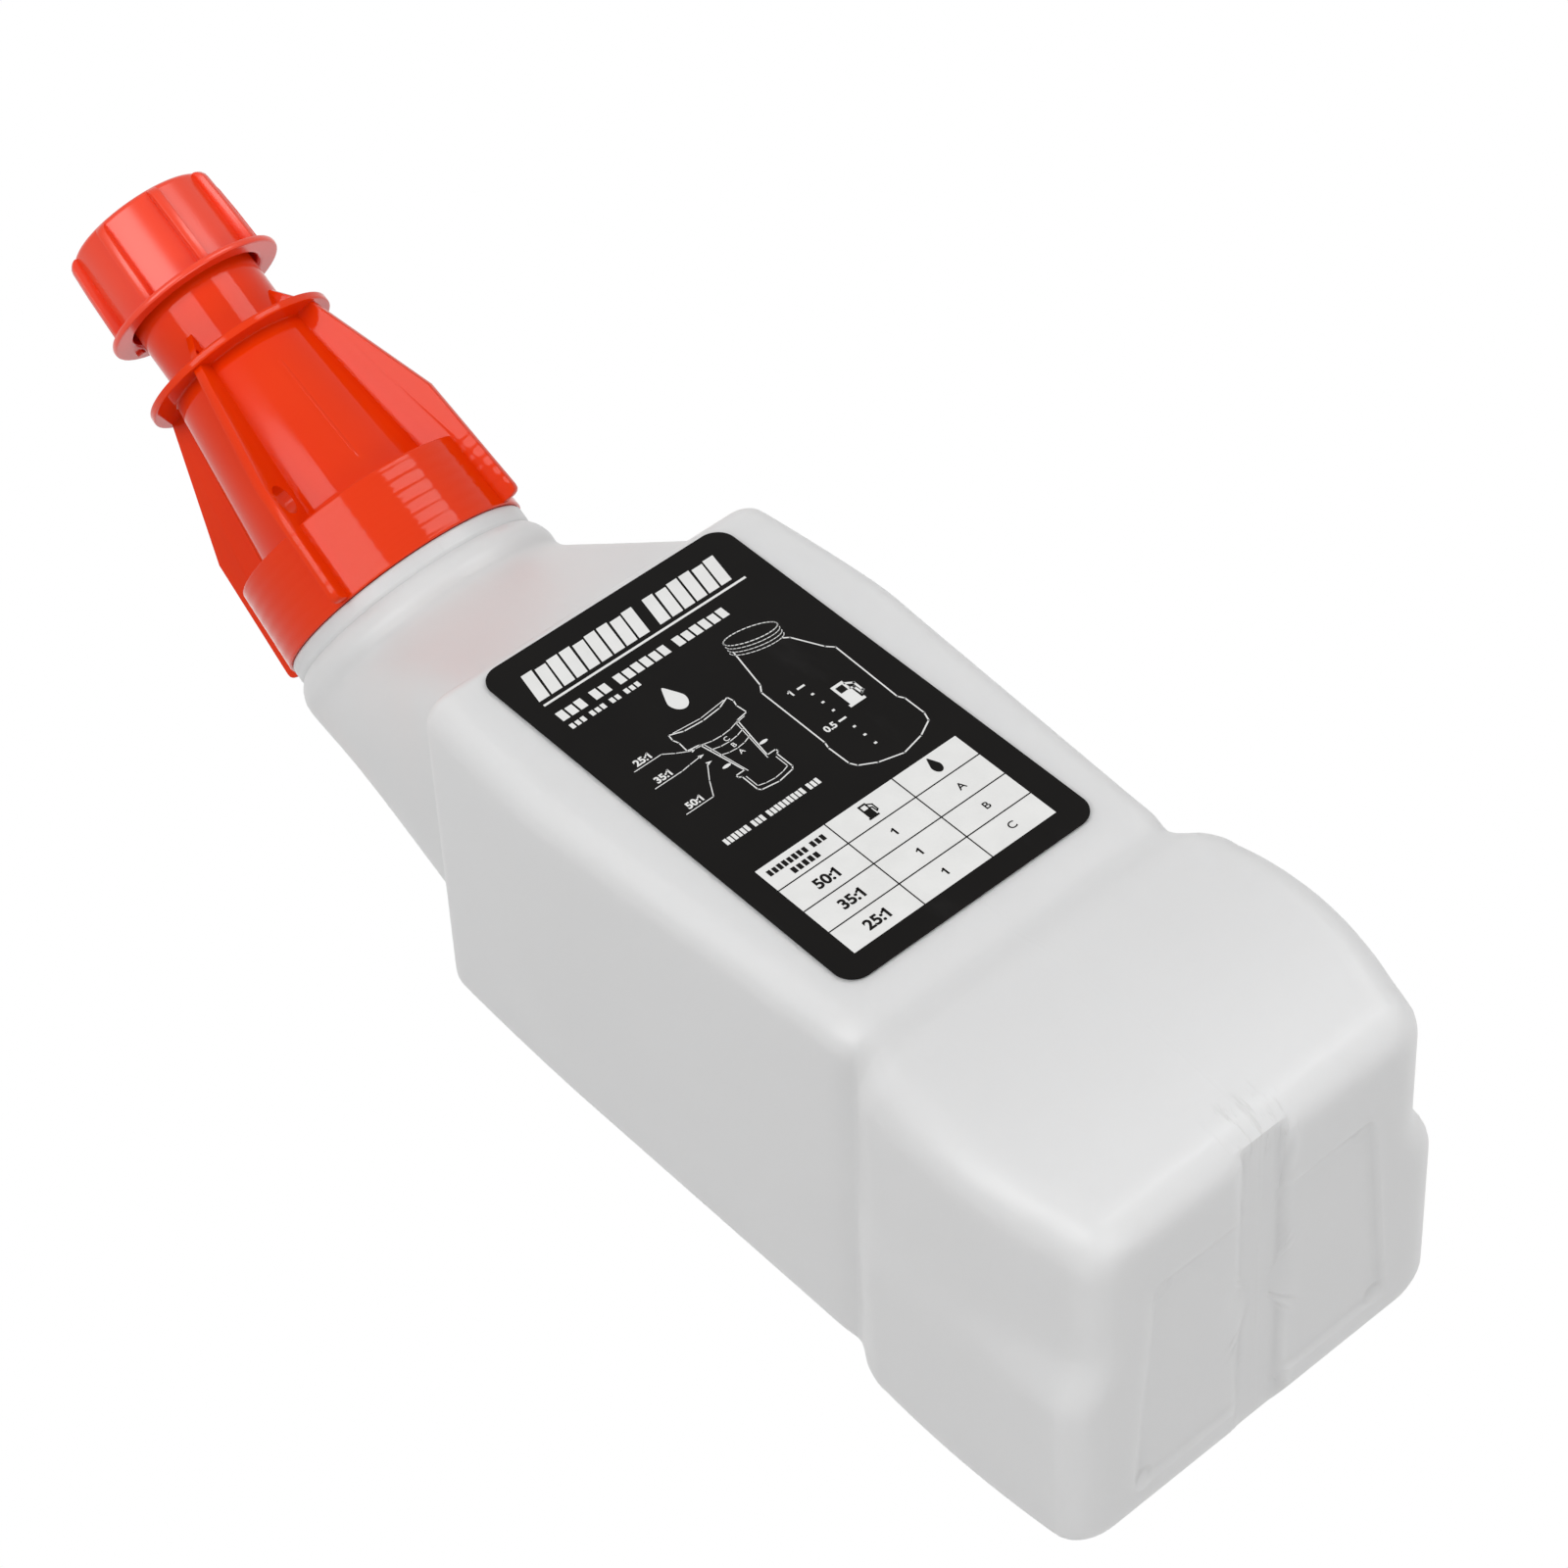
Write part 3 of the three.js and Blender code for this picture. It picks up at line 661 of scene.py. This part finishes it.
def merged(piece, tool, operation="UNION"):
    bpy.ops.object.select_all(action="DESELECT")
    piece.select_set(True)
    bpy.context.view_layer.objects.active = piece
    bpy.ops.object.modifier_add(type="BOOLEAN")
    cut = piece.modifiers["Boolean"]
    cut.object, cut.operation, cut.solver = tool, operation, "EXACT"
    bpy.ops.object.modifier_apply(modifier="Boolean")
    bpy.data.objects.remove(tool)


# A ridge that climbs round the axis and fades out at both ends
def thread(name, radius, crest, foot, pitch, turns, half_width):
    steps, root, crest_share = 72, 0.5, 0.35
    rings = []
    for i in range(int(turns * steps) + 1):
        t = i / (turns * steps)
        turn, z = 2 * pi * turns * t, foot + pitch * turns * t
        fade = min(1, t * 9, (1 - t) * 9)
        top = radius + (crest - radius) * fade
        inner = radius - root if crest > radius else radius + root
        rings.append([Vector((sin(turn) * r * mm, -cos(turn) * r * mm, (z + dz) * mm)) for r, dz in
                      ((inner, -half_width), (radius, -half_width),
                       (top, -half_width * crest_share), (top, half_width * crest_share),
                       (radius, half_width), (inner, half_width))])
    piece = lofted(name, rings)
    close_ends()
    return piece


# Fills the two open ends of the piece just made
def close_ends():
    bpy.ops.object.mode_set(mode="EDIT")
    bpy.ops.mesh.select_all(action="DESELECT")
    bpy.ops.mesh.select_non_manifold()
    bpy.ops.mesh.fill()
    bpy.ops.mesh.select_all(action="SELECT")
    bpy.ops.mesh.normals_make_consistent(inside=False)
    bpy.ops.object.mode_set(mode="OBJECT")


def gathered(piece, others):
    bpy.ops.object.select_all(action="DESELECT")
    for part in (piece, *others):
        part.select_set(True)
    bpy.context.view_layer.objects.active = piece
    bpy.ops.object.join()


def set_on_neck(piece, turn=0.0):
    bpy.ops.object.select_all(action="DESELECT")
    piece.select_set(True)
    bpy.context.view_layer.objects.active = piece
    leaned = Matrix.Translation(seat) @ Matrix.Rotation(lean, 4, "X")
    piece.matrix_world = leaned @ Matrix.Rotation(turn, 4, "Z")
    bpy.ops.object.transform_apply()
    bpy.ops.object.shade_smooth_by_angle(angle=radians(32))


cup_turn = -pi / 4
collar_bore, collar_top = 26.9, 18.5
ring_foot, ring_top, ring_radius = 59, 60.7, 22.3
pour_radius, pour_wall, rim_level = 14.2, 14.7, 92.7
cup = turned("measuring_cup_body", [
    (27.4, 0), (29.3, 0), (28.3, collar_top), (22.9, collar_top), (21.6, 20), (16.7, ring_foot),
    (ring_radius, ring_foot), (ring_radius, ring_top), (15.4, ring_top), (pour_wall, 61.4),
    (pour_wall, 79), (pour_radius, 79.6), (pour_radius, rim_level), (12.6, rim_level),
    (12.6, ring_top), (14.7, 57), (19.6, 20), (19.6, 16.5), (collar_bore, 16.5), (collar_bore, 0.6)])
wing_outline = [(27.9, 0.4), (31.6, 0.4), (32.6, 0.7), (33.1, 1.3), (33.2, 2.2), (31.3, 29.5),
                (20.9, 59.4), (15.7, 59.4), (20.6, 20), (20.6, 17.5), (27.9, 17.5)]
gusset_outline = [(13.9, 60.3), (19.6, 60.3), (19.3, 61.2), (14.9, 66.9), (13.9, 66.9)]
for i in range(4):
    turn = i * pi / 2
    wing = plate(wing_outline, 2.2, turn, 0.35)
    if i % 2 == 0:
        drilled(wing, radius=3.5, r=26.6, z=24.8, turn=turn)
    merged(cup, wing)
    gusset = plate(gusset_outline, 1.6, turn, 0.2)
    drilled(gusset, radius=0.8, r=17.4, z=62, turn=turn)
    merged(cup, gusset)
# The volume marks stand a little proud of the wall, between the left wing and the back one: one on
# the pouring neck and two on the cone, which leans in by cone_slope
marks = []
marks_turn, cone_slope, mark_sunk = radians(-118), 0.125, 0.25
for amount, station, radius, slope in (("10 ml", 69, pour_wall, 0), ("20 ml", 50, 17.8, cone_slope),
                                       ("40 ml", 28, 20.6, cone_slope)):
    bpy.ops.object.select_all(action="DESELECT")
    bpy.ops.object.text_add()
    words = bpy.context.object
    words.data.body, words.data.size, words.data.extrude = amount, 4.2 * mm, 0.5 * mm
    words.data.align_x, words.data.align_y = "CENTER", "CENTER"
    bpy.ops.object.convert(target="MESH")
    on_wall = Matrix.Translation((0, (mark_sunk - radius) * mm, station * mm))
    words.matrix_world = (Matrix.Rotation(marks_turn, 4, "Z") @ on_wall
                          @ Matrix.Rotation(pi / 2 - slope, 4, "X"))
    bpy.ops.object.transform_apply()
    marks.append(words)
gathered(cup, marks)
neck_thread = thread("neck_thread", pour_radius, crest=15.3, foot=80.4, pitch=3.5, turns=2.9,
                     half_width=0.9)
collar_thread = thread("collar_thread", collar_bore, crest=26.55, foot=3, pitch=4, turns=2.6,
                       half_width=0.9)
gathered(cup, [neck_thread, collar_thread])
set_on_neck(cup, cup_turn)
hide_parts("measuring_cup")
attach(cup, "cup_body")


# Glossy injected plastic: nearly even in colour, a little paler where it is thin, with faint flow
# marks along the axis and a soft orange peel. Over the threads the walls of the collar and the cap
# have shrunk into low waves, and the mould's parting line runs up the cone.
material, inputs, place, (x, y, z) = finish(
    "orange_plastic", Subsurface_Weight=0.12, Subsurface_Radius=(1.0, 0.25, 0.08),
    Subsurface_Scale=0.002, IOR=1.5, Specular_IOR_Level=0.16, Coat_Roughness=0.05)
flow = place.stretched((90, 90, 14), (lean, 0, 0)).noise(1.0, 3.0)
patches = place.noise(32.0, 2.0)
shade = patches.tint((0.72, 0.032, 0.0004), (0.78, 0.039, 0.0008))
place.feed(inputs["Base Color"], (flow.within(0.5, 0.8) * 0.25).tint(shade, (0.80, 0.047, 0.0015)))
place.feed(inputs["Roughness"], 0.05 + patches * 0.04 + flow * 0.03)
place.feed(inputs["Coat Weight"], patches * 0.04)
station = station_of(y, z)
waves = (station * 2280.0 + patches * 3.0).maths("SINE")
on_collar = station.within(0.0165, 0.0185).maths("SUBTRACT", 1.0).size()
shrunk = waves * (on_collar + station.within(0.077, 0.079))
on_cone = station.within(0.024, 0.026) * (1 - station.within(0.050, 0.052))
parting = (1 - x.size().within(0.0001, 0.0004)) * on_cone
fine = place.noise(380.0, 1.0)
bumped(inputs, flow * 0.00003 + fine * 0.00001 + shrunk * 0.00006 + parting * 0.0002)
wear(cup, material)

# The bottle's own thread, which the collar hides until the cup comes off
bottle_thread = thread("bottle_thread", neck_radius, crest=26.25, foot=3.2, pitch=4, turns=2.4,
                       half_width=0.9)
set_on_neck(bottle_thread)
wear(bottle_thread, bpy.data.materials["bottle_plastic"])
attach(bottle_thread, "bottle_body")


# Cap
# Screws on the pouring neck: a skirt with eight square grip ribs, a flange under them with small
# blocks beneath, and a thread inside. It is moulded in the same orange as the cup.
cap_top, cap_bore = 96.8, 15.7
flange_foot, flange_top = 75.6, 77.1
cap = turned("cap_shell", [
    (0.01, cap_top), (0.01, 94.8), (15.5, 94.8), (cap_bore, 94.4), (cap_bore, 76.2),
    (16.4, flange_foot), (20.4, flange_foot), (20.6, 76.2), (20.4, flange_top), (17.1, flange_top),
    (16.7, 96.1), (16, cap_top)], rounding=0.3)
# The tiny hole that the turning leaves on the axis is sewn up
bpy.ops.object.mode_set(mode="EDIT")
bpy.ops.mesh.select_all(action="SELECT")
bpy.ops.mesh.remove_doubles(threshold=2e-5)
bpy.ops.object.mode_set(mode="OBJECT")
# The ribs and the blocks run a little way into the shell's wall
rib_count, screwed_home = 8, -0.04
rib_outline = [(16, 76.6), (19.4, 76.6), (19, 88), (18.6, 94), (18.4, 94.9), (17.8, 95.8),
               (16.8, 96.4), (16, 95.6)]
ribs = [plate(rib_outline, 2.2, i * 2 * pi / rib_count + screwed_home, 0.4) for i in range(rib_count)]
block_outline = [(16.6, 74.9), (18.2, 74.9), (18.2, 75.8), (16.6, 75.8)]
blocks = [plate(block_outline, 1.6, i * pi / 4, 0.15) for i in (3, 4, 5)]
cap_thread = thread("cap_thread", cap_bore, crest=15.45, foot=80, pitch=3.5, turns=2.8, half_width=0.8)
gathered(cap, [cap_thread, *ribs, *blocks])
set_on_neck(cap)
wear(cap, bpy.data.materials["orange_plastic"])
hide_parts("cap")
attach(cap, "cap_body")


# Cap strap
# A thin tongue of the same plastic that joins the cap's flange to the cup's neck behind. The real one
# bends when the cap comes off; here it is one fixed shape.
strap_turn = radians(157.5)
strap_half, strap_edge, strap_thick = 3.75, 0.35, 1.5
route = [Vector(p) for p in ((18.1, 0, 76.35), (24.6, 0, 76.75), (31.6, 0, 74.35),
                             (34.1, 0, 68.85), (30.6, 0, 64.35), (23.6, 0, 64.85),
                             (15.35, 0, 68.35))]
# Its section, as shares of half the thickness and as places across
strap_section = [(-1, strap_edge - strap_half), (-0.5, -strap_half), (0.5, -strap_half),
                 (1, strap_edge - strap_half), (1, 0), (1, strap_half - strap_edge),
                 (0.5, strap_half), (-0.5, strap_half), (-1, strap_half - strap_edge), (-1, 0)]
strap_rings = []
for k in range(len(route) - 1):
    a, b, c, d = route[max(k - 1, 0)], route[k], route[k + 1], route[min(k + 2, len(route) - 1)]
    for step in range(8 if k < len(route) - 2 else 9):
        t = step / 8
        bend, twist = a * 2 - b * 5 + c * 4 - d, b * 3 - a - c * 3 + d
        here = (b * 2 + (c - a) * t + bend * t**2 + twist * t**3) / 2
        way = ((c - a) + bend * 2 * t + twist * 3 * t**2).normalized()
        out = Vector((-way.z, 0, way.x)) * strap_thick / 2
        strap_rings.append([(here + out * n + Vector((0, w, 0))) * mm for n, w in strap_section])
strap = lofted("cap_strap", strap_rings)
close_ends()
set_on_neck(strap, strap_turn - pi / 2)
wear(strap, bpy.data.materials["orange_plastic"])
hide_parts("cap")
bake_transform(strap)


# Sealing ring
# A flat ring of black rubber, pressed into the top of the cap; the cup's rim closes against it.
gasket = turned("sealing_ring", [(8.5, 93.0), (15.0, 93.0), (15.0, 94.5), (8.5, 94.5)], rounding=0.2)
set_on_neck(gasket)
material, inputs, place, parts = finish("black_rubber", IOR=1.5)
dust = place.noise(400.0, 3.0)
place.feed(inputs["Base Color"], dust.tint((0.010, 0.0095, 0.009), (0.018, 0.017, 0.016)))
place.feed(inputs["Roughness"], 0.62 + dust * 0.2)
bumped(inputs, dust * 0.00003, 0.4)
wear(gasket, material)
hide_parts("cap_gasket")
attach(gasket, "cap_body")


# Stage
# A pale floor under the foot, clear from below, because the photograph looks up through it, and a
# white surround for the camera and for what the gloss mirrors.
bpy.ops.object.select_all(action="DESELECT")
bpy.ops.mesh.primitive_plane_add(size=6, location=(0, 0, -0.0002))
floor = bpy.context.object
floor.name = "floor"
floor.visible_diffuse = False
floor.visible_glossy = False
floor.visible_shadow = False
material, inputs, place, parts = finish("floor", Roughness=0.9, Base_Color=(0.86, 0.86, 0.86, 1))
backfacing = 6                    # that output's number
below = place.node("NewGeometry", output=backfacing)
place.feed(inputs["Alpha"], 1 - below)
wear(floor, material)

world = bpy.data.worlds.new("surround")
bpy.context.scene.world = world
world.use_nodes = True
light = world.node_tree.nodes["Background"]
rays = world.node_tree.nodes.new("ShaderNodeLightPath")
camera_ray, glossy, through = (Wire(rays.outputs[name]) for name in
                               ("Is Camera Ray", "Is Glossy Ray", "Is Transmission Ray"))
plain = camera_ray.maths("MAXIMUM", glossy).maths("MAXIMUM", through)
camera_ray.feed(light.inputs["Color"], plain.tint((0.98, 0.98, 0.98), (1, 1, 1)))
camera_ray.feed(light.inputs["Strength"], plain * 0.53 + 0.47)


# Lamps
# Two broad soft boxes give the long bright bands on the orange, and a weak one lifts the foot.
lit_point = Vector((0, -0.03, 0.2))


# A lamp that faces the lit point from as far away as given, in metres and watts
def soft_box(name, away, across, high, power, roll=0.0):
    bpy.ops.object.light_add(type="AREA")
    lamp = bpy.context.object
    lamp.name = name
    lamp.data.shape, lamp.data.size, lamp.data.size_y = "RECTANGLE", across, high
    lamp.data.energy = power
    lamp.location = lit_point + Vector(away)
    facing = Vector(away).to_track_quat("Z", "Y")
    lamp.rotation_euler = (facing @ Quaternion((0, 0, 1), roll)).to_euler()
    lamp.visible_camera = False


soft_box("left_box", (-0.83, -0.86, -0.06), 1.0, 0.46, 7.2, roll=radians(-18))
soft_box("front_box", (0.65, -0.95, -0.2), 0.66, 0.32, 3.5, roll=radians(18))
soft_box("under_box", (-0.1, -0.3, -1.1), 0.8, 0.6, 3.4)

bpy.context.scene.view_settings.view_transform = "Standard"
